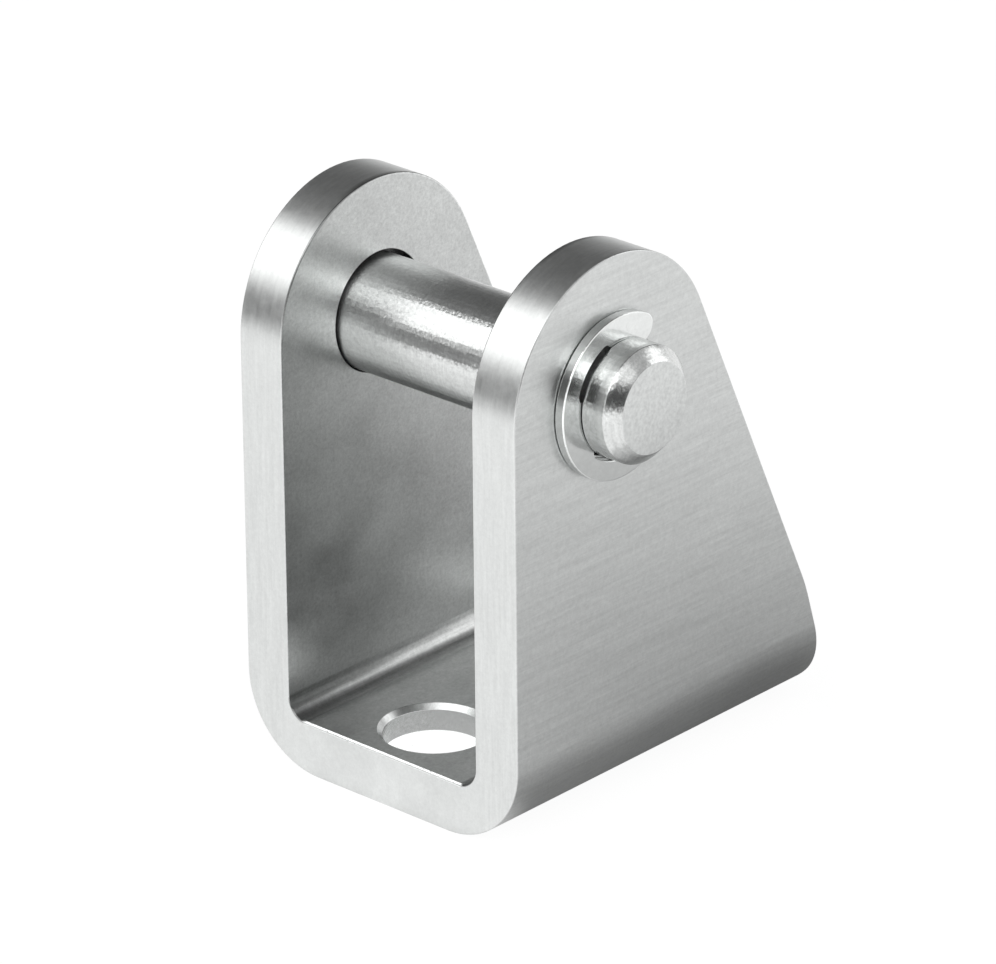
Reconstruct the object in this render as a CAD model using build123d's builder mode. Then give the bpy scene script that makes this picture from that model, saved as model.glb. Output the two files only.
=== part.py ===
from build123d import *

import os
from math import cos, hypot, radians, sin

os.makedirs("parts", exist_ok=True)

# Clevis foot for a round air cylinder of 20 or 25 mm bore. A thick strip of stainless
# sheet is bent into a U: the base is screwed down through two holes in line, and the
# two ears carry a pivot pin that is kept in place by an E-shaped ring at each end.
#
# Frame: +X along the pivot pin, +Y from the straight front edge to the rear, +Z up.
# The origin is on the underside, in the middle of the width and of the base's length.
# All sizes are in millimetres and degrees.

# Bent sheet. A bend this tight thins the sheet, so the outer radius has a size of its own.
sheet_t = 3.7
ear_gap = 16.8
outer_bend_r = 6.3
inner_bend_r = 1.6
edge_round = 0.12

# Ear outline: a round head, an upright front edge and a slanted rear edge. The rear
# edge gets steeper at the knee and runs round the bend to the end of the base, where
# the lower part of the cut is upright again.
ear_r = 9.4
pin_hole_z = 30.0
pin_hole_clearance = 0.18
pin_hole_break = 0.06
knee_z = 9.6
knee_setback = 2.3
knee_r = 14.0
base_end_height = 1.9
base_end_r = 6.0

# Base holes: straight where the screw passes, tapered open towards the underside. The
# base is as long as the holes need, with a wall in front of and behind their mouths.
screw_hole_r = 3.5
screw_hole_spacing = 20.0
screw_hole_chamfer = 0.36
taper_widening = 0.9
taper_angle = 52.0
front_wall = 0.8
rear_wall = 1.6

# Pivot pin. It lies low in its holes, because they are larger than the pin.
pin_r = 4.0
pin_rest_clearance = 0.05
pin_shoulder_length = 1.85
pin_end_chamfer = 0.9
pin_edge_break = 0.1
groove_r = 2.5
groove_play = 0.05

# Retaining ring, stamped from spring sheet. Its mouth lets it slide onto the groove,
# and its tongue and two arm tips bear on the groove's floor. The angles are counted
# from the middle of the mouth, apart from the mouth's own, which is up from +Y.
ring_t = 0.7
ring_r = 5.65
ring_seat_clearance = 0.03
ring_ear_clearance = 0.06
ring_band = 1.4
ring_mouth_angle = 18.0
ring_mouth_width = 4.1
ring_mouth_flare = 6.2
ring_tip_round = 1.0
ring_recess_start = 88.0
ring_recess_end = 150.0
ring_recess_round = 0.45
ring_lobe_round = 0.2

# How near two places or radii have to be to count as the same
same = 0.001

# Worked out from the sizes above
width = ear_gap + 2 * sheet_t
taper_mouth_r = screw_hole_r + taper_widening
base_length = front_wall + taper_mouth_r + screw_hole_spacing + taper_mouth_r + rear_wall
front_y = -base_length / 2
rear_y = base_length / 2
screw_holes_y = front_y + front_wall + taper_mouth_r + screw_hole_spacing / 2
pin_hole_r = pin_r + pin_hole_clearance
pin_y = front_y + ear_r
pin_z = pin_hole_z - pin_hole_clearance + pin_rest_clearance
ring_inner_x = width / 2 + ring_ear_clearance
groove_width = ring_t + 2 * groove_play
groove_x = ring_inner_x + ring_t / 2
pin_length = 2 * (groove_x + groove_width / 2 + pin_shoulder_length + pin_end_chamfer)
ring_seat_r = groove_r + ring_seat_clearance
ring_recess_r = ring_r - ring_band


# Bracket: the U-shaped section is drawn with its bends and pulled along the base, and
# the ear outline, drawn from the side, then trims both ears at once.
with BuildPart() as bracket:
    with BuildSketch(Plane.XZ.offset(-front_y)) as section:
        section_height = pin_hole_z + ear_r
        Rectangle(width, section_height, align=(Align.CENTER, Align.MIN))
        with Locations((0, sheet_t)):
            Rectangle(ear_gap, section_height, align=(Align.CENTER, Align.MIN), mode=Mode.SUBTRACT)
        fillet(section.vertices().group_by(Axis.Y)[1], radius=inner_bend_r)
        fillet(section.vertices().group_by(Axis.Y)[0], radius=outer_bend_r)
    extrude(amount=-base_length)

    with BuildSketch(Plane.YZ) as side:
        knee = (rear_y - knee_setback, knee_z)
        base_end = (rear_y, base_end_height)
        with BuildLine():
            CenterArc((pin_y, pin_hole_z), ear_r, 0, 360)
            Polyline((front_y, 0), (rear_y, 0), base_end, knee)
        make_hull()
        fillet(side.vertices().sort_by_distance(knee)[0], radius=knee_r)
        fillet(side.vertices().sort_by_distance(base_end)[0], radius=base_end_r)
    extrude(amount=width / 2, both=True, mode=Mode.INTERSECT)

    # The sheet's sharp edges are broken all round, along its outer and its inner face.
    # The lines where a bend starts, and the short ones across a cut edge, stay as they are.
    bend_lines = bracket.edges().filter_by(Axis.Y)
    lines_across = bracket.edges().filter_by(Axis.X).filter_by(
        lambda edge: edge.center().Z > sheet_t + edge_round
    )
    fillet(bracket.edges() - bend_lines - lines_across, radius=edge_round)

    # Holes for the pivot pin, through both ears, each with its rims broken
    with Locations(Plane(origin=(width / 2, pin_y, pin_hole_z), z_dir=(1, 0, 0))):
        Hole(radius=pin_hole_r, depth=width)
    pin_hole_rims = bracket.edges().filter_by(
        lambda edge: edge.geom_type == GeomType.CIRCLE and abs(edge.radius - pin_hole_r) < same
    )
    chamfer(pin_hole_rims, length=pin_hole_break)

    # Screw holes, opened by a taper from below and chamfered above
    with Locations(Plane(origin=(0, screw_holes_y, 0), z_dir=(0, 0, -1))):
        with GridLocations(0, screw_hole_spacing, 1, 2):
            CounterSinkHole(
                radius=screw_hole_r,
                counter_sink_radius=taper_mouth_r,
                depth=sheet_t,
                counter_sink_angle=taper_angle,
            )
    screw_hole_rims = bracket.edges().filter_by(GeomType.CIRCLE).filter_by_position(
        Axis.Z, sheet_t - same, sheet_t + same
    )
    chamfer(screw_hole_rims, length=screw_hole_chamfer)
bracket.part.label = "bracket"
export_step(bracket.part, "parts/bracket.step")


# Pivot pin: half of its profile, with a groove and a chamfer at each end, is turned
# about its own axis.
with BuildPart() as pivot_pin:
    pin_plane = Plane(origin=(0, pin_y, pin_z), x_dir=(1, 0, 0), z_dir=(0, -1, 0))
    with BuildSketch(pin_plane) as profile:
        Rectangle(pin_length, pin_r, align=(Align.CENTER, Align.MIN))
        chamfer(profile.vertices().group_by(Axis.Y)[-1], length=pin_end_chamfer)
        with Locations((-groove_x, groove_r), (groove_x, groove_r)):
            Rectangle(groove_width, pin_r, align=(Align.CENTER, Align.MIN), mode=Mode.SUBTRACT)
        groove_rims = profile.vertices().group_by(Axis.Y)[-1].sort_by(Axis.X)[1:-1]
        chamfer(groove_rims, length=pin_edge_break)
    revolve(axis=Axis((0, pin_y, pin_z), (1, 0, 0)))
pivot_pin.part.label = "pivot_pin"
export_step(pivot_pin.part, "parts/pivot_pin.step")


def corners_at(sketch, radius):
    """The corners of a drawing that lie at one distance from its centre."""
    return sketch.vertices().filter_by(lambda corner: abs(hypot(corner.X, corner.Y) - radius) < same)


# Retaining rings: a disc with the groove's bore, a flared mouth and two recesses that
# leave a tongue opposite the mouth and an arm on each side of it.
ring_starts = {
    "retaining_ring_left": -ring_inner_x - ring_t,
    "retaining_ring_right": ring_inner_x,
}
for ring_name, ring_start_x in ring_starts.items():
    mouth_direction = (0, cos(radians(ring_mouth_angle)), sin(radians(ring_mouth_angle)))
    ring_plane = Plane(origin=(ring_start_x, pin_y, pin_z), x_dir=mouth_direction, z_dir=(1, 0, 0))
    with BuildPart() as ring:
        with BuildSketch(ring_plane) as outline:
            Circle(ring_r)
            Circle(ring_seat_r, mode=Mode.SUBTRACT)
            with BuildLine():
                Polyline(
                    (0, -ring_mouth_width / 2),
                    (ring_seat_r, -ring_mouth_width / 2),
                    (ring_r, -ring_mouth_flare / 2),
                    (ring_r, ring_mouth_flare / 2),
                    (ring_seat_r, ring_mouth_width / 2),
                    (0, ring_mouth_width / 2),
                    close=True,
                )
            make_face(mode=Mode.SUBTRACT)
            for turn in (ring_recess_start, -ring_recess_end):
                with BuildLine():
                    rim = CenterArc((0, 0), ring_recess_r, turn, ring_recess_end - ring_recess_start)
                    Polyline(rim @ 1, (0, 0), rim @ 0)
                make_face(mode=Mode.SUBTRACT)
            fillet(corners_at(outline, ring_recess_r), radius=ring_recess_round)
            fillet(corners_at(outline, ring_seat_r), radius=ring_lobe_round)
            fillet(corners_at(outline, ring_r), radius=ring_tip_round)
        extrude(amount=ring_t)
    ring.part.label = ring_name
    export_step(ring.part, f"parts/{ring_name}.step")
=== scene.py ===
# %% [markdown]
# # A clevis foot in brushed stainless steel
#
# A round air cylinder swings on a foot like this one. A strip of stainless sheet is bent
# into a U, its base is screwed down, and a pin through both ears carries the cylinder's
# eye. The solid parts come from CAD and are already in place. What is left for Blender is
# how they look: the steel, the worn edges, the floor, the light and the camera.

from math import cos, pi, radians, sin

import bpy
from mathutils import Matrix, Vector


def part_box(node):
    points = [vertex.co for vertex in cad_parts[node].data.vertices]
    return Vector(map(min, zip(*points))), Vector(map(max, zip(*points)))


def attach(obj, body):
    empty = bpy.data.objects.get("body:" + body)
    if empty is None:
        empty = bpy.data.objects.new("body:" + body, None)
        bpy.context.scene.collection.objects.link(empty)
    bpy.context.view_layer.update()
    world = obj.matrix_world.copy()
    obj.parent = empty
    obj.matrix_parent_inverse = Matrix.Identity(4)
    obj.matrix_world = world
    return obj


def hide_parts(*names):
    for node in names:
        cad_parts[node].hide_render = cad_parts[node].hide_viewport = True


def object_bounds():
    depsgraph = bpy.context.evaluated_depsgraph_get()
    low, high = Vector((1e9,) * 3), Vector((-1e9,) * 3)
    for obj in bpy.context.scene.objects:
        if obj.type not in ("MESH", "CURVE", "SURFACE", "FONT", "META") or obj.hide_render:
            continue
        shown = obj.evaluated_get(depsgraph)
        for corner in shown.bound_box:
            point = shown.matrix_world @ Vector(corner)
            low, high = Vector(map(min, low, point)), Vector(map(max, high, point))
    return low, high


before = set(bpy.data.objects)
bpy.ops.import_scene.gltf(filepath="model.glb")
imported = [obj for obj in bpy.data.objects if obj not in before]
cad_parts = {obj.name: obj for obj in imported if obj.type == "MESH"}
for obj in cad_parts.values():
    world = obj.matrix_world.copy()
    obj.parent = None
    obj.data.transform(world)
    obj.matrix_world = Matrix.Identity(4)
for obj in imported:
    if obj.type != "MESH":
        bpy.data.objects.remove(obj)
cad_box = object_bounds()
print("pieces from CAD:", sorted(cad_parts))

# %% [markdown]
# ## Millimetres
#
# Blender counts in metres, and the foot is only 40 mm high. Every size below is written in
# millimetres and multiplied by `MM`, so that the numbers stay easy to read.

# %% Size of the foot
MM = 0.001
low, high = cad_box
size = high - low
print("the foot measures", [round(edge / MM, 2) for edge in size], "mm")

# %% [markdown]
# ## The camera
#
# The photograph was taken from the front right, a little above the foot, from about half a
# metre away with a long lens, so the parallel edges of the foot hardly run together. A
# camera can be aimed with a constraint, but here its place is worked out from two angles, a
# distance and a small roll, because those are what was measured in the photograph. The aim
# is then moved a little within the picture, so that the foot lies where it does there.

# %% Camera at the photograph's angle
CAMERA_AZIMUTH = 42.548
CAMERA_ELEVATION = 24.113
CAMERA_ROLL = -0.531
CAMERA_DISTANCE = 469.0
IMAGE_WIDTH = 996
FOCAL_PIXELS = 7136.0
SENSOR_WIDTH = 36.0
CLIP_START = 10.0
CLIP_END = 20000.0
AIM = Vector((0.0, -5.6, 20.0))
AIM_OFFSET = (1.0874, -0.0843)


def camera_axes(azimuth, elevation, roll):
    """Right, up and backward directions of a camera that looks at the foot."""
    right = Vector((cos(azimuth), sin(azimuth), 0))
    back = Vector((sin(azimuth) * cos(elevation), -cos(azimuth) * cos(elevation), sin(elevation)))
    up = back.cross(right)
    rolled_right = cos(roll) * right + sin(roll) * up
    rolled_up = -sin(roll) * right + cos(roll) * up
    return rolled_right, rolled_up, back


right, up, back = camera_axes(radians(CAMERA_AZIMUTH), radians(CAMERA_ELEVATION), radians(CAMERA_ROLL))
bpy.ops.object.camera_add()
camera = bpy.context.object
camera.name = "camera"
turn = Matrix((right, up, back)).transposed().to_4x4()
stand = AIM + AIM_OFFSET[0] * right + AIM_OFFSET[1] * up + CAMERA_DISTANCE * back
camera.matrix_world = Matrix.Translation(stand * MM) @ turn
camera.data.sensor_width = SENSOR_WIDTH
camera.data.lens = FOCAL_PIXELS / IMAGE_WIDTH * SENSOR_WIDTH
camera.data.clip_start = CLIP_START * MM
camera.data.clip_end = CLIP_END * MM
bpy.context.scene.camera = camera
print("camera stands at", [round(c) for c in stand], "mm with a lens of", round(camera.data.lens), "mm")

# %% [markdown]
# ## Writing node trees in a few words
#
# A material is a tree of nodes. Made by hand, each node is added, its boxes are filled in
# and its sockets are joined with lines. In code that takes many lines, so small helpers do
# it. The first adds a node and fills or joins its inputs, and the second starts a material.

# %% Helpers for nodes


def add_node(tree, kind, inputs=None, **settings):
    """Adds a node, sets its options, and fills or joins its inputs by name or number."""
    node = tree.nodes.new(kind)
    for name, value in settings.items():
        setattr(node, name, value)
    for name, value in (inputs or {}).items():
        if isinstance(value, bpy.types.NodeSocket):
            tree.links.new(value, node.inputs[name])
        else:
            node.inputs[name].default_value = value
    return node


def new_material(name):
    """A new material with an empty node tree and its output node."""
    material = bpy.data.materials.new(name)
    material.use_nodes = True
    material.node_tree.nodes.clear()
    output = add_node(material.node_tree, "ShaderNodeOutputMaterial")
    return material, material.node_tree, output


# %% [markdown]
# A mask is a number that is 1 on one part of a piece and 0 on the rest. It could be painted
# by hand, but here it is worked out: a height, or the way the surface faces, is mapped onto
# 0 to 1. Masks are multiplied to narrow them down, and a mask then mixes two values.

# %% Helpers for numbers and masks


def maths(tree, operation, first, second=0.0):
    """One sum on numbers; returns the answer's socket."""
    node = add_node(tree, "ShaderNodeMath", {0: first, 1: second}, operation=operation)
    return node.outputs[0]


def product(tree, *factors):
    """All the factors multiplied together."""
    answer = factors[0]
    for factor in factors[1:]:
        answer = maths(tree, "MULTIPLY", answer, factor)
    return answer


def remap(tree, value, source, target=(0.0, 1.0)):
    """Maps the range source onto the range target and never passes its ends."""
    start, end = source
    first, last = target
    inputs = {"Value": value, "From Min": start, "From Max": end, "To Min": first, "To Max": last}
    return add_node(tree, "ShaderNodeMapRange", inputs).outputs[0]


def mix_numbers(tree, share, first, second):
    """first where share is 0, second where it is 1."""
    node = add_node(tree, "ShaderNodeMix", data_type="FLOAT")
    for socket, value in zip((0, 2, 3), (share, first, second)):
        if isinstance(value, bpy.types.NodeSocket):
            tree.links.new(value, node.inputs[socket])
        else:
            node.inputs[socket].default_value = value
    return node.outputs[0]


def steps(tree, value, stops):
    """Follows a list of places and heights, in order, straight from one to the next."""
    node = add_node(tree, "ShaderNodeValToRGB", {"Fac": value})
    ramp = node.color_ramp
    ramp.elements[0].position = stops[0][0]
    ramp.elements[1].position = stops[-1][0]
    for position, _ in stops[1:-1]:
        ramp.elements.new(position)
    for stop, (_, height) in zip(ramp.elements, stops):
        stop.color = (height, height, height, 1)
    return node.outputs["Color"]


# %% [markdown]
# A place on a piece and the way it faces are vectors, three numbers each. Places are read
# from Object coordinates, so that a pattern stays on its piece when the piece turns.

# %% Helpers for places and directions
ACROSS_LINE = {"X": (0, 1, 1), "Z": (1, 1, 0)}


def vectors(tree, operation, first, second):
    """One sum on vectors; returns the answer's socket."""
    return add_node(tree, "ShaderNodeVectorMath", {0: first, 1: second}, operation=operation).outputs[0]


def split(tree, vector):
    """The three numbers of a vector, by the names X, Y and Z."""
    return add_node(tree, "ShaderNodeSeparateXYZ", {0: vector}).outputs


def position_in_mm(tree):
    """The place on the piece in millimetres, from its Object coordinates."""
    place = add_node(tree, "ShaderNodeTexCoord").outputs["Object"]
    inputs = {"Vector": place, "Scale": (1 / MM, 1 / MM, 1 / MM)}
    return add_node(tree, "ShaderNodeMapping", inputs).outputs[0]


def surface_normal(tree):
    """The direction in which the surface faces."""
    return add_node(tree, "ShaderNodeNewGeometry").outputs["Normal"]


def from_line(tree, position, axis, point):
    """How far a place is from the line along X or Z through a point, with that axis at 0 in it."""
    flattened = vectors(tree, "MULTIPLY", position, ACROSS_LINE[axis])
    node = add_node(tree, "ShaderNodeVectorMath", {0: flattened, 1: point}, operation="DISTANCE")
    return node.outputs["Value"]


# %% [markdown]
# Brush marks, stains and crystals are all noise, at different scales. Stretched along one
# direction, noise looks like scratches. Added to the normal, it makes metal glitter. Most of
# its values lie near the middle of 0 to 1, so the ranges below name how much of it is used.

# %% Helpers for noise and steel
ALL_OF_NOISE = (0.25, 0.75)
MOST_OF_NOISE = (0.3, 0.7)
MIDDLE_OF_NOISE = (0.35, 0.65)
NOISE_MEAN = 0.5
STEEL_RED = 0.982
STEEL_BLUE = 0.991


def stretched_noise(tree, position, scale, detail, roughness):
    """The noise node itself, with its own scale along each axis in waves per millimetre."""
    stretched = add_node(tree, "ShaderNodeMapping", {"Vector": position, "Scale": scale}).outputs[0]
    inputs = {"Vector": stretched, "Scale": 1.0, "Detail": detail, "Roughness": roughness}
    return add_node(tree, "ShaderNodeTexNoise", inputs)


def grain(tree, position, scale, detail, roughness):
    """Noise as one number, about 0.3 to 0.7."""
    return stretched_noise(tree, position, scale, detail, roughness).outputs["Fac"]


def leaned(tree, normal, by):
    """The normal moved by a vector and brought back to a length of 1."""
    moved = vectors(tree, "ADD", normal, by)
    return add_node(tree, "ShaderNodeVectorMath", {0: moved}, operation="NORMALIZE").outputs[0]


def tilted(tree, normal, noise, strength):
    """Leans the surface a little, at random from one scratch or crystal to the next."""
    lean = vectors(tree, "SUBTRACT", noise.outputs["Color"], (NOISE_MEAN, NOISE_MEAN, NOISE_MEAN))
    scaled = add_node(tree, "ShaderNodeVectorMath", {0: lean, "Scale": strength}, operation="SCALE")
    return leaned(tree, normal, scaled.outputs[0])


def grey(tree, value):
    """The colour of stainless steel at that brightness: grey with a trace of green."""
    red = maths(tree, "MULTIPLY", value, STEEL_RED)
    blue = maths(tree, "MULTIPLY", value, STEEL_BLUE)
    return add_node(tree, "ShaderNodeCombineColor", {"Red": red, "Green": value, "Blue": blue}).outputs[0]


def join_steel(tree, output, shade, roughness, normal, extra=None):
    """Bare metal with that shade, roughness and normal, joined to the material's output."""
    inputs = {"Base Color": grey(tree, shade), "Metallic": 1.0, "Roughness": roughness, "Normal": normal}
    inputs.update(extra or {})
    surface = add_node(tree, "ShaderNodeBsdfPrincipled", inputs)
    tree.links.new(surface.outputs[0], output.inputs["Surface"])


# %% [markdown]
# ## Brushed sheet with ground edges
#
# Stainless sheet is rolled and then lightly brushed, so its faces carry a very fine grain in
# one direction, here along the base. The edges were cut and then ground along their outline,
# and they are lighter. Both could be painted as separate materials, but the bracket is one
# solid, so one material tells face from edge: an edge faces forwards or backwards, or faces
# away from the sides above the bends. Each pair says where a mask is still 0 and where it
# reaches 1, in millimetres or as the part of the normal along one axis.

# %% Faces and edges of the bracket
ABOVE_BENDS = (6.3, 6.8)
EAR_EDGE_FACING = (0.75, 0.55)
END_EDGE_FACING = (0.55, 0.75)

bracket_steel, tree, output = new_material("brushed_stainless_sheet")
position = position_in_mm(tree)
place = split(tree, position)
normal = surface_normal(tree)
facing = split(tree, normal)
side_facing = maths(tree, "ABSOLUTE", facing["X"])
end_facing = maths(tree, "ABSOLUTE", facing["Y"])
is_ear_edge = product(
    tree, remap(tree, place["Z"], ABOVE_BENDS), remap(tree, side_facing, EAR_EDGE_FACING)
)
is_edge = maths(tree, "MAXIMUM", is_ear_edge, remap(tree, end_facing, END_EDGE_FACING))
print("the ears' edges are ground from", ABOVE_BENDS[1], "mm up")

# %% [markdown]
# The holes are told apart by their distance from an axis. The pin nearly fills the bores in
# the ears, and they carry a painted shade that makes them nearly black. A screw hole has a
# chamfer above, then a wall in painted shade, and under it a taper painted nearly white,
# which mirrors the painted pools of light on the floor below.

# %% Holes of the bracket
PIN_HOLE_CENTRE = (0, -6.2, 30.0)
PIN_HOLE_R = 4.18
AT_BORE = (PIN_HOLE_R + 0.08, PIN_HOLE_R + 0.02)
SCREW_HOLES_Y = (-10.4, 9.6)
AT_SCREW_HOLE = (4.45, 4.38)
SHEET_TOP = 3.7
BELOW_TOP = (SHEET_TOP - 0.01, SHEET_TOP - 0.03)
CHAMFER_FOOT = 3.34
BELOW_CHAMFER = (CHAMFER_FOOT, CHAMFER_FOOT - 0.04)
TAPER_TOP = 1.85
AT_TAPER = (TAPER_TOP, TAPER_TOP - 0.08)
NOT_UNDERSIDE = (-0.98, -0.95)

is_bore = remap(tree, from_line(tree, position, "X", PIN_HOLE_CENTRE), AT_BORE)
near_hole = 0.0
for hole_y in SCREW_HOLES_Y:
    from_hole = from_line(tree, position, "Z", (0, hole_y, 0))
    near_hole = maths(tree, "MAXIMUM", near_hole, remap(tree, from_hole, AT_SCREW_HOLE))
below_top = remap(tree, place["Z"], BELOW_TOP)
is_screw_hole = product(tree, near_hole, below_top, remap(tree, facing["Z"], NOT_UNDERSIDE))
is_hole_wall = product(tree, is_screw_hole, remap(tree, place["Z"], BELOW_CHAMFER))
is_taper = product(tree, is_screw_hole, remap(tree, place["Z"], AT_TAPER))
print("screw holes are found at", SCREW_HOLES_Y, "mm along the base")

# %% [markdown]
# Inside the U, the bends and the floor get shades of their own, largely painted light and
# shade. The front edge of that floor shows a burr, a rough lip left by cutting, as a broken
# white line about a tenth of a millimetre wide. It could be modelled, but it is only a trace
# on the rounded edge, so that strip of the edge carries a painted highlight and leans forwards.

# %% Inside of the U and the burr
INSIDE_U = (8.9, 8.6)
INNER_BEND_FACING = (0.03, 0.12)
U_FLOOR_FACING = (0.93, 0.99)
AT_FRONT_EDGE = (-15.22, -15.36)
BURR_FACING = (0.1, 0.3)
BETWEEN_BENDS = (7.3, 6.9)

from_middle = maths(tree, "ABSOLUTE", place["X"])
is_inner = remap(tree, from_middle, INSIDE_U)
bend_facing = product(tree, side_facing, facing["Z"])
is_inner_bend = product(tree, is_inner, remap(tree, bend_facing, INNER_BEND_FACING))
is_floor_of_u = product(tree, is_inner, remap(tree, facing["Z"], U_FLOOR_FACING))
at_front_edge = remap(tree, place["Y"], AT_FRONT_EDGE)
faces_up = remap(tree, facing["Z"], BURR_FACING)
is_burr = product(tree, at_front_edge, faces_up, remap(tree, from_middle, BETWEEN_BENDS))
print("the burr runs", 2 * BETWEEN_BENDS[1], "mm along the front edge")

# %% [markdown]
# Six noises make the skin of the sheet. The streaks are stretched along the brushing on the
# faces and along the outline on the edges. Clouds are broad stains, and they take the place
# of the streaks inside the U, which was brushed less. Mottle and speckle are the crystals.
# The last one only leans the ground edges, to break up the ends of their reflections.

# %% Grain of the bracket
streaks = grain(tree, position, scale=(3.6, 0.16, 3.6), detail=5.0, roughness=0.7)
edge_streaks = grain(tree, position, scale=(3.4, 0.28, 0.28), detail=4.0, roughness=0.65)
clouds = grain(tree, position, scale=(0.35, 0.22, 0.3), detail=3.0, roughness=0.55)
mottle = grain(tree, position, scale=(2.4, 1.8, 2.2), detail=3.0, roughness=0.65)
speckle = grain(tree, position, scale=(5.0, 4.0, 4.5), detail=2.0, roughness=0.8)
edge_waves = stretched_noise(tree, position, scale=(7.0, 1.1, 1.1), detail=1.5, roughness=0.5)
lines = mix_numbers(tree, is_edge, streaks, edge_streaks)
lines = mix_numbers(tree, is_inner, lines, clouds)
print("grain brings the bracket's steel to", len(tree.nodes), "nodes")

# %% [markdown]
# Roughness says how blurred a reflection is. Brushed sheet blurs the room into soft bands,
# and the hole's rim and the bends inside, rubbed by tools, are a little smoother.

# %% Roughness of the bracket
FACE_ROUGHNESS = (0.305, 0.37)
EDGE_ROUGHNESS = (0.305, 0.36)
LINE_ROUGHNESS = (-0.015, 0.015)
SCREW_HOLE_ROUGHNESS = 0.25
INNER_BEND_ROUGHNESS = 0.30

face_roughness = remap(tree, clouds, MOST_OF_NOISE, FACE_ROUGHNESS)
edge_roughness = remap(tree, mottle, MOST_OF_NOISE, EDGE_ROUGHNESS)
roughness = mix_numbers(tree, is_edge, face_roughness, edge_roughness)
roughness = maths(tree, "ADD", roughness, remap(tree, lines, MOST_OF_NOISE, LINE_ROUGHNESS))
roughness = mix_numbers(tree, is_screw_hole, roughness, SCREW_HOLE_ROUGHNESS)
roughness = mix_numbers(tree, is_inner_bend, roughness, INNER_BEND_ROUGHNESS)
print("faces have a roughness of", FACE_ROUGHNESS, "and edges", EDGE_ROUGHNESS)

# %% [markdown]
# The shade is how much light the bare metal sends back. Ground edges are the lightest, and
# the floor of the U carries a painted shade. The bends inside carry painted light, dull at
# the front and bright at the back, and across a bend a painted shade darkens them from the
# ear down to the floor.

# %% Shade of the faces, edges and inner bends
FACE_SHADE = (0.565, 0.695)
EDGE_SHADE = (0.655, 0.755)
# Painted shade on the floor of the U, with broad stains in it.
U_FLOOR_PAINTED_SHADE = (0.335, 0.435)
ALONG_BEND = (-15.0, 6.0)
# Painted light along the inner bends, and painted shade across them.
BEND_PAINTED_LIGHT = (0.36, 0.95)
BEND_STREAKS = (0.38, 0.62)
BEND_STREAK_DEPTH = (0.88, 1.12)
PAINTED_SHADE_ACROSS_BEND = (
    (0.04, 1.0), (0.2, 1.0), (0.45, 0.85), (0.66, 0.72), (0.79, 0.4), (0.93, 0.4), (0.99, 0.45)
)

face_shade = remap(tree, lines, ALL_OF_NOISE, FACE_SHADE)
edge_shade = remap(tree, lines, ALL_OF_NOISE, EDGE_SHADE)
shade = mix_numbers(tree, is_edge, face_shade, edge_shade)
# Painted shade on the floor of the U between the ears, varied by broad stains.
shade = mix_numbers(tree, is_floor_of_u, shade, remap(tree, clouds, MIDDLE_OF_NOISE, U_FLOOR_PAINTED_SHADE))
# Painted light and shade on the inner bends, with their own streaks.
bend_streaks_and_painted_light = product(
    tree,
    remap(tree, place["Y"], ALONG_BEND, BEND_PAINTED_LIGHT),
    remap(tree, streaks, BEND_STREAKS, BEND_STREAK_DEPTH),
    steps(tree, facing["Z"], PAINTED_SHADE_ACROSS_BEND),
)
shade = mix_numbers(tree, is_inner_bend, shade, bend_streaks_and_painted_light)
print("faces have a shade of", FACE_SHADE, "and edges", EDGE_SHADE)

# %% [markdown]
# The holes get one shade each: painted shade on the walls of the screw holes and in the
# pin's bores, and painted light on the tapers. Then mottle and speckle darken and lighten
# the whole sheet a little. They are strongest on the faces inside the U.

# %% Shade of the holes and the crystals
SCREW_HOLE_SHADE = 0.72
# Painted shade for the screw holes' walls, painted light for their tapers.
HOLE_WALL_PAINTED_SHADE = 0.36
TAPER_PAINTED_LIGHT = 0.96
BORE_PAINTED_SHADE = 0.05
MOTTLE_DEPTH = {"outside": 0.12, "inside": 0.30, "edge": 0.15}
SPECKLE_DEPTH = {"outside": 0.32, "inside": 0.60, "edge": 0.18}

shade = mix_numbers(tree, is_screw_hole, shade, SCREW_HOLE_SHADE)
# Painted shade on the screw holes' walls and painted light on their tapers.
shade = mix_numbers(tree, is_hole_wall, shade, HOLE_WALL_PAINTED_SHADE)
shade = mix_numbers(tree, is_taper, shade, TAPER_PAINTED_LIGHT)
# Painted shade in the pin's bores, nearly black.
shade = mix_numbers(tree, is_bore, shade, BORE_PAINTED_SHADE)
for noise, depth in ((mottle, MOTTLE_DEPTH), (speckle, SPECKLE_DEPTH)):
    on_face = mix_numbers(tree, is_inner, depth["outside"], depth["inside"])
    strength = mix_numbers(tree, is_edge, on_face, depth["edge"])
    change = product(tree, maths(tree, "SUBTRACT", noise, NOISE_MEAN), strength)
    shade = product(tree, shade, maths(tree, "ADD", 1.0, change))
print("the hole's wall has a shade of", HOLE_WALL_PAINTED_SHADE, "and its taper", TAPER_PAINTED_LIGHT)

# %% [markdown]
# The burr comes last, over everything else. Speckle leaves gaps in it, its colour is a
# painted highlight, it is rougher, and its normal is pushed forwards. All is then joined to
# one metal shader, which the CAD solid wears.

# %% Burr and finish of the bracket
BURR_GAPS = (0.25, 0.4)
# Painted highlight of the burr.
BURR_PAINTED_HIGHLIGHT = 0.98
BURR_ROUGHNESS = 0.4
BURR_LEAN = -1.1
EDGE_LEAN = 0.05

burr = product(tree, is_burr, remap(tree, speckle, BURR_GAPS))
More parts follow.
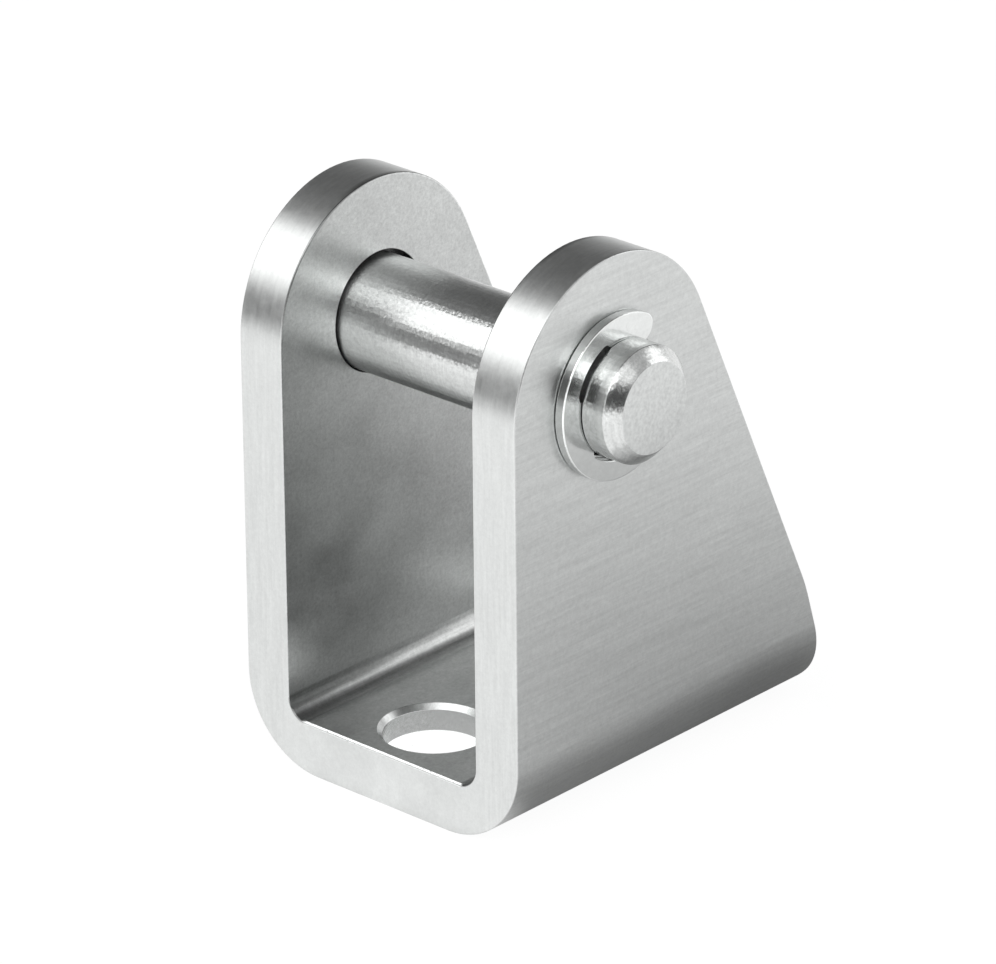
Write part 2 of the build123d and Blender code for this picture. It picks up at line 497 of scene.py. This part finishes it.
# Painted highlight along the burr's strip of the front edge.
shade = mix_numbers(tree, burr, shade, BURR_PAINTED_HIGHLIGHT)
roughness = mix_numbers(tree, burr, roughness, BURR_ROUGHNESS)
leaning = tilted(tree, normal, edge_waves, product(tree, is_edge, EDGE_LEAN))
forwards = add_node(tree, "ShaderNodeCombineXYZ", {"Y": product(tree, burr, BURR_LEAN)}).outputs[0]
join_steel(tree, output, shade, roughness, leaned(tree, leaning, forwards))

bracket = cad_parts["bracket"]
bracket.data.materials.clear()
bracket.data.materials.append(bracket_steel)
print("bracket is finished in", bracket_steel.name, "with", len(tree.nodes), "nodes")

# %% [markdown]
# ## Turned pin
#
# The pin is a bar that was turned on a lathe and tumbled. It glitters, because its skin is
# made of tiny facets that lean this way and that. They could be modelled, but there are
# thousands, so fine noise leans the normal instead. Between the ears, tool marks run round
# the pin and spread each reflection along it, which anisotropy does. The shoulders outside
# the ears are smoother, the end faces were cut with a coarser tool and are matt, and beside
# the left ear a painted highlight makes the pin a little lighter.

# %% Where on the pin
PIN_END_FACING = (0.85, 0.95)
PIN_SIDE_FACING = (0.5, 0.3)
INSIDE_SHOULDERS = (12.6, 12.2)
BY_LEFT_EAR = (-3.5, -8.0)

pin_steel, tree, output = new_material("turned_stainless_bar")
position = position_in_mm(tree)
place = split(tree, position)
normal = surface_normal(tree)
end_facing = maths(tree, "ABSOLUTE", split(tree, normal)["X"])
is_end = remap(tree, end_facing, PIN_END_FACING)
between_ears = remap(tree, maths(tree, "ABSOLUTE", place["X"]), INSIDE_SHOULDERS)
is_turned = product(tree, remap(tree, end_facing, PIN_SIDE_FACING), between_ears)
# Where the painted highlight beside the left ear lies.
painted_highlight_by_left_ear = product(tree, remap(tree, place["X"], BY_LEFT_EAR), between_ears)
print("the turned part of the pin ends", INSIDE_SHOULDERS[1], "mm from its middle")

# %% [markdown]
# Four noises at different scales give the tool marks, the facets, the crystals and patches
# that are duller than others.

# %% Pin steel
PIN_ROUGHNESS = (0.285, 0.315)
SHOULDER_ROUGHNESS = 0.24
PIN_END_ROUGHNESS = 0.45
PIN_SHADE = (0.65, 0.73)
# Painted highlight beside the left ear.
LEFT_EAR_PAINTED_HIGHLIGHT = 0.80
PIN_END_SHADE = 0.68
CRYSTAL_DEPTH = (0.87, 1.13)
SHOULDER_LEAN = 0.20
GLITTER_LEAN = 0.28
ANISOTROPY = 0.8
QUARTER_TURN = 0.25

tool_marks = grain(tree, position, scale=(7.0, 0.12, 0.12), detail=3.0, roughness=0.6)
facets = stretched_noise(tree, position, scale=(6.0, 6.0, 6.0), detail=2.0, roughness=0.7)
patches = grain(tree, position, scale=(0.9, 0.7, 0.7), detail=2.0, roughness=0.5)
crystals = grain(tree, position, scale=(3.4, 3.4, 3.4), detail=3.0, roughness=0.75)

roughness = remap(tree, patches, MIDDLE_OF_NOISE, PIN_ROUGHNESS)
roughness = mix_numbers(tree, between_ears, SHOULDER_ROUGHNESS, roughness)
roughness = mix_numbers(tree, is_end, roughness, PIN_END_ROUGHNESS)
shade = remap(tree, tool_marks, MOST_OF_NOISE, PIN_SHADE)
# Painted highlight beside the left ear.
shade = mix_numbers(tree, painted_highlight_by_left_ear, shade, LEFT_EAR_PAINTED_HIGHLIGHT)
shade = mix_numbers(tree, is_end, shade, PIN_END_SHADE)
shade = product(tree, shade, remap(tree, crystals, MOST_OF_NOISE, CRYSTAL_DEPTH))
leaning = tilted(tree, normal, facets, mix_numbers(tree, between_ears, SHOULDER_LEAN, GLITTER_LEAN))
round_the_pin = {
    "Anisotropic": product(tree, is_turned, ANISOTROPY),
    "Anisotropic Rotation": QUARTER_TURN,
    "Tangent": add_node(tree, "ShaderNodeTangent", direction_type="RADIAL", axis="X").outputs[0],
}
join_steel(tree, output, shade, roughness, leaning, round_the_pin)
print(pin_steel.name, "has", len(tree.nodes), "nodes")

# %% [markdown]
# ## Polished rings
#
# The retaining rings are stamped from spring steel and tumbled until they are bright, so
# they mirror what is round them with only a little blur. Their cut rim is duller than their
# rounded edges. The flat face carries a painted shade that makes it darker low down than
# high up. Slow waves in the height of the surface bend the mirrored lines, as stamping does.

# %% Ring steel
RING_ROUGHNESS = (0.12, 0.17)
OFF_THE_RIM = (0.1, 0.35)
RIM_SHADE = 0.62
ROUNDED_SHADE = 0.95
ON_THE_FLAT = (0.96, 0.995)
FLAT_HEIGHTS = (27.0, 34.0)
# Painted shade over the height of the flat face.
FLAT_PAINTED_SHADE = (0.54, 0.77)
SCUFF_DEPTH = (0.95, 1.05)
WAVE_HEIGHT = 0.01

ring_steel, tree, output = new_material("polished_spring_steel")
position = position_in_mm(tree)
flat_facing = maths(tree, "ABSOLUTE", split(tree, surface_normal(tree))["X"])
waves = grain(tree, position, scale=(0.8, 0.8, 0.8), detail=2.0, roughness=0.5)
scuffs = grain(tree, position, scale=(3.0, 3.0, 3.0), detail=3.0, roughness=0.7)
roughness = remap(tree, waves, MOST_OF_NOISE, RING_ROUGHNESS)
shade = mix_numbers(tree, remap(tree, flat_facing, OFF_THE_RIM), RIM_SHADE, ROUNDED_SHADE)
# Painted shade: the flat face is darker low down than high up.
flat_painted_shade = remap(tree, split(tree, position)["Z"], FLAT_HEIGHTS, FLAT_PAINTED_SHADE)
shade = mix_numbers(tree, remap(tree, flat_facing, ON_THE_FLAT), shade, flat_painted_shade)
shade = product(tree, shade, remap(tree, scuffs, ALL_OF_NOISE, SCUFF_DEPTH))
bump = add_node(tree, "ShaderNodeBump", {"Height": waves, "Strength": 1.0, "Distance": WAVE_HEIGHT * MM})
join_steel(tree, output, shade, roughness, bump.outputs[0])
print(ring_steel.name, "has", len(tree.nodes), "nodes")

# %% [markdown]
# ## Worn edges on the pin and the rings
#
# The solid pin and rings have knife-sharp edges. On the real ones, tumbling has worn every
# edge round, and each catches a thin line of light. Those lines could be painted, but they
# would not move with the light, so the edges are really rounded. Each piece starts as a copy
# of its solid. The copy's loose triangles are merged, flat faces become single faces again,
# and every edge that turns sharply is bevelled. The new piece then stands for the solid.

# %% Round the edges of a copy
MERGE_DISTANCE = 0.001
FLAT_ANGLE = 0.3
SHARP_ANGLE = 25
SMOOTH_ANGLE = 20
PIN_WEAR = 0.045
RING_WEAR = 0.08


def worn_copy(node_name, name, width, material, body):
    """A copy of a solid with its sharp edges rounded, in that finish, on that body."""
    bpy.ops.object.select_all(action="DESELECT")
    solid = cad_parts[node_name]
    solid.select_set(True)
    bpy.context.view_layer.objects.active = solid
    bpy.ops.object.duplicate()
    piece = bpy.context.object
    piece.name = name
    bpy.ops.object.mode_set(mode="EDIT")
    bpy.ops.mesh.select_all(action="SELECT")
    bpy.ops.mesh.customdata_custom_splitnormals_clear()
    bpy.ops.mesh.remove_doubles(threshold=MERGE_DISTANCE * MM)
    bpy.ops.mesh.mark_sharp(clear=True)
    bpy.ops.mesh.dissolve_limited(angle_limit=radians(FLAT_ANGLE))
    bpy.ops.mesh.select_all(action="DESELECT")
    bpy.ops.mesh.edges_select_sharp(sharpness=radians(SHARP_ANGLE))
    bpy.ops.mesh.bevel(offset=width * MM, offset_type="OFFSET", segments=2, profile=0.5)
    bpy.ops.object.mode_set(mode="OBJECT")
    bpy.ops.object.shade_smooth_by_angle(angle=radians(SMOOTH_ANGLE))
    piece.data.materials.clear()
    piece.data.materials.append(material)
    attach(piece, body)
    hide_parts(node_name)
    print(name, "has", len(piece.data.polygons), "faces")


worn_copy("pivot_pin", "turned_pin", PIN_WEAR, pin_steel, "pin")
worn_copy("retaining_ring_left", "ring_left", RING_WEAR, ring_steel, "pin")
worn_copy("retaining_ring_right", "ring_right", RING_WEAR, ring_steel, "pin")

# %% [markdown]
# ## Floor
#
# The photograph has a pure white ground. A lit floor alone never gets quite there without
# too much light on the metal, so the paper also glows for rays that come straight from the
# camera, and for those that the metal sends on. It keeps the shadow of the foot. For the
# metal, the glow carries a painted shadow: it is dimmer round a spot at the rear right, where
# the paper lies in the foot's shade, and dimmer again where the foot touches it. In front of
# the foot painted light keeps it bright, and brighter further off. Under the screw holes two
# painted pools of light make bright patches, which the walls of the holes mirror.

# %% What the metal sees of the floor
FLOOR_SIZE = 6000.0
foot_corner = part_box("bracket")[1]
FOOT_HALF = (foot_corner[0] / MM, foot_corner[1] / MM, 0.0)
# Painted shadow and painted light in the floor's glow, as the metal sees it.
CONTACT_REACH = (1.0, 10.0)
PAINTED_CONTACT_LEVEL = (0.33, 1.0)
SHADE_CENTRE = (8.0, 18.0, 0.0)
SHADE_REACH = (9.0, 66.0)
PAINTED_SHADOW_LEVEL = (0.37, 1.19)
FRONT_REACH = (-55.0, -80.0)
PAINTED_FRONT_LEVEL = (1.2, 1.46)
FRONT_TO_SHADE = (-16.5, -11.0)
HOLE_PATCH_REACH = (5.6, 5.0)
PAINTED_PATCH_LEVEL = 1.35

bpy.ops.object.select_all(action="DESELECT")
bpy.ops.mesh.primitive_plane_add(size=FLOOR_SIZE * MM, location=(0, 0, 0))
floor = bpy.context.object
floor.name = "floor"
pale_paper, tree, output = new_material("pale_paper")
position = position_in_mm(tree)
forward = split(tree, position)["Y"]
across = add_node(tree, "ShaderNodeVectorMath", {0: position}, operation="ABSOLUTE").outputs[0]
outside = vectors(tree, "MAXIMUM", vectors(tree, "SUBTRACT", across, FOOT_HALF), (0, 0, 0))
from_foot = from_line(tree, outside, "Z", (0, 0, 0))
from_shade = from_line(tree, position, "Z", SHADE_CENTRE)
# Painted shadow in the glow, round the shade spot and where the foot touches the floor.
painted_shadow = product(
    tree,
    remap(tree, from_shade, SHADE_REACH, PAINTED_SHADOW_LEVEL),
    remap(tree, from_foot, CONTACT_REACH, PAINTED_CONTACT_LEVEL),
)
# Painted light in front of the foot, brighter further off.
painted_front_light = remap(tree, forward, FRONT_REACH, PAINTED_FRONT_LEVEL)
paper_in_metal = mix_numbers(tree, remap(tree, forward, FRONT_TO_SHADE), painted_front_light, painted_shadow)
# Painted pools of light under the screw holes.
for hole_y in SCREW_HOLES_Y:
    painted_light_patch = remap(tree, from_line(tree, position, "Z", (0, hole_y, 0)), HOLE_PATCH_REACH)
    paper_in_metal = mix_numbers(tree, painted_light_patch, paper_in_metal, PAINTED_PATCH_LEVEL)
print("the foot covers", [round(2 * half, 2) for half in FOOT_HALF[:2]], "mm of the floor")

# %% [markdown]
# Light Path tells the paper which ray is asking. It is mostly glow for the camera and for
# the metal, and plain lit paper for everything else.

# %% Pale paper
PAPER_COLOUR = (0.86, 0.86, 0.86, 1)
WHITE = (1, 1, 1, 1)
SEEN_LEVEL = 1.07
SEEN_GLOW = 0.88
MIRRORED_GLOW = 0.8

ray = add_node(tree, "ShaderNodeLightPath")
seen = maths(tree, "MAXIMUM", ray.outputs["Is Camera Ray"], ray.outputs["Is Transmission Ray"])
mirrored = ray.outputs["Is Glossy Ray"]
brightness = mix_numbers(tree, mirrored, SEEN_LEVEL, paper_in_metal)
share = maths(tree, "MAXIMUM", product(tree, seen, SEEN_GLOW), product(tree, mirrored, MIRRORED_GLOW))
paper = add_node(tree, "ShaderNodeBsdfDiffuse", {"Color": PAPER_COLOUR})
glow = add_node(tree, "ShaderNodeEmission", {"Color": WHITE, "Strength": brightness})
blend = add_node(tree, "ShaderNodeMixShader", {0: share, 1: paper.outputs[0], 2: glow.outputs[0]})
tree.links.new(blend.outputs[0], output.inputs["Surface"])
floor.data.materials.append(pale_paper)
print(pale_paper.name, "has", len(tree.nodes), "nodes")

# %% [markdown]
# ## Light
#
# Metal has no look of its own: it shows what stands round it. The room is white near the
# horizon. Above that it is dark in front, darker behind and mid grey on the right.

# %% The room
UP_TO_DARK = (0.20, 0.36)
WHITE_LEVEL = 1.0
FRONT_TO_REAR = (-0.75, 0.3)
ROOM_LEVEL = (0.29, 0.11)
TO_THE_RIGHT = (-0.05, 0.25)
RIGHT_LEVEL = 0.5

world = bpy.data.worlds.new("studio")
bpy.context.scene.world = world
world.use_nodes = True
tree = world.node_tree
tree.nodes.clear()
output = add_node(tree, "ShaderNodeOutputWorld")
towards = split(tree, add_node(tree, "ShaderNodeTexCoord").outputs["Generated"])
upper_room = remap(tree, towards["Y"], FRONT_TO_REAR, ROOM_LEVEL)
upper_room = mix_numbers(tree, remap(tree, towards["X"], TO_THE_RIGHT), upper_room, RIGHT_LEVEL)
strength = mix_numbers(tree, remap(tree, towards["Z"], UP_TO_DARK), WHITE_LEVEL, upper_room)
room = add_node(tree, "ShaderNodeBackground", {"Color": WHITE, "Strength": strength})
tree.links.new(room.outputs[0], output.inputs["Surface"])
print("the room is white up to", UP_TO_DARK[0], "and dark above", UP_TO_DARK[1])

# %% [markdown]
# Four soft lamps hang round the foot. The large one, in front and to the left, draws the
# white bands over the ears and along the pin. The one beside it carries that light on to the
# right, from where the left ear throws it back onto the pin. A weaker one behind lights the
# bend inside, and a dim one on the right is mirrored by the chamfer at the pin's end. Each
# is given by how bright it is to look at, and its power follows from that and its size.

# %% Soft lamps
LIT_FROM_ROUND = Vector((0, -6, 28))


def set_up(thing, towards, distance, along):
    """Puts a lamp or card in that direction from the pin, facing it, its width along a line."""
    away = Vector(towards).normalized()
    across = Vector(along)
    across = (across - across.dot(away) * away).normalized()
    turn = Matrix((across, away.cross(across), away)).transposed().to_4x4()
    thing.matrix_world = Matrix.Translation((LIT_FROM_ROUND + away * distance) * MM) @ turn


def add_soft_lamp(name, towards, distance, along, size, radiance):
    """A rectangular lamp; its power follows from how bright it is to look at."""
    bpy.ops.object.light_add(type="AREA")
    lamp = bpy.context.object
    lamp.name = name
    set_up(lamp, towards, distance, along)
    lamp.data.shape = "RECTANGLE"
    lamp.data.size = size[0] * MM
    lamp.data.size_y = size[1] * MM
    lamp.data.energy = radiance * pi * lamp.data.size * lamp.data.size_y
    lamp.visible_camera = False
    print(name, "gives", round(lamp.data.energy, 2), "W")


add_soft_lamp(
    "soft_lamp_front",
    towards=(-0.33, -0.62, 0.70),
    distance=460,
    along=(0.937, -0.235, 0.259),
    size=(600, 340),
    radiance=1.7,
)
add_soft_lamp(
    "soft_lamp_front_right",
    towards=(0.469, -0.585, 0.661),
    distance=460,
    along=(0.883, 0.311, -0.352),
    size=(230, 300),
    radiance=1.8,
)
add_soft_lamp(
    "soft_lamp_rear",
    towards=(0.42, 0.79, 0.43),
    distance=420,
    along=(-0.88, 0.47, 0.0),
    size=(240, 190),
    radiance=1.2,
)
add_soft_lamp(
    "soft_lamp_right",
    towards=(0.65, -0.25, 0.71),
    distance=420,
    along=(-0.25, -0.65, 0.0),
    size=(300, 180),
    radiance=0.65,
)

# %% [markdown]
# Three upright cards stand low round the foot, where only the metal sees them. The one in
# front on the left is mirrored as the grey under the white bands. The one behind on the
# left is bright at its foot, and is mirrored where the ears' edges darken from the rear to the
# top. The third, nearly black, stands in front on the right and gives the pin's chamfer its
# dark band.

# %% Grey cards
CARD_EDGES = (-0.5, 0.5)


def add_card(name, towards, distance, size, below, above):
    """A plain upright card that only the metal sees, of one brightness below and another above."""
    bpy.ops.object.select_all(action="DESELECT")
    bpy.ops.mesh.primitive_plane_add(size=1.0)
    card = bpy.context.object
    card.name = name
    set_up(card, towards, distance, (-towards[1], towards[0], 0))
    card.scale = (size[0] * MM, size[1] * MM, 1)
    material, tree, output = new_material(name)
    height = split(tree, add_node(tree, "ShaderNodeTexCoord").outputs["Object"])["Y"]
    brightness = remap(tree, height, CARD_EDGES, (below, above))
    glow = add_node(tree, "ShaderNodeEmission", {"Color": WHITE, "Strength": brightness})
    tree.links.new(glow.outputs[0], output.inputs["Surface"])
    card.data.materials.append(material)
    card.visible_camera = False
    card.visible_diffuse = False
    card.visible_shadow = False
    print(name, "is", size[0], "by", size[1], "mm")


add_card("card_front_left", (-0.62, -0.78, 0.025), distance=170, size=(156, 64), below=0.22, above=0.10)
add_card("card_rear_left", (-0.62, 0.76, 0.10), distance=170, size=(156, 88), below=1.2, above=0.08)
add_card("card_front_right", (0.78, -0.60, 0.25), distance=240, size=(220, 152), below=0.03, above=0.02)

# %% [markdown]
# ## How the picture is shown
#
# The Standard view shows a colour about as it is written.

# %% Finish
bpy.context.scene.view_settings.view_transform = "Standard"
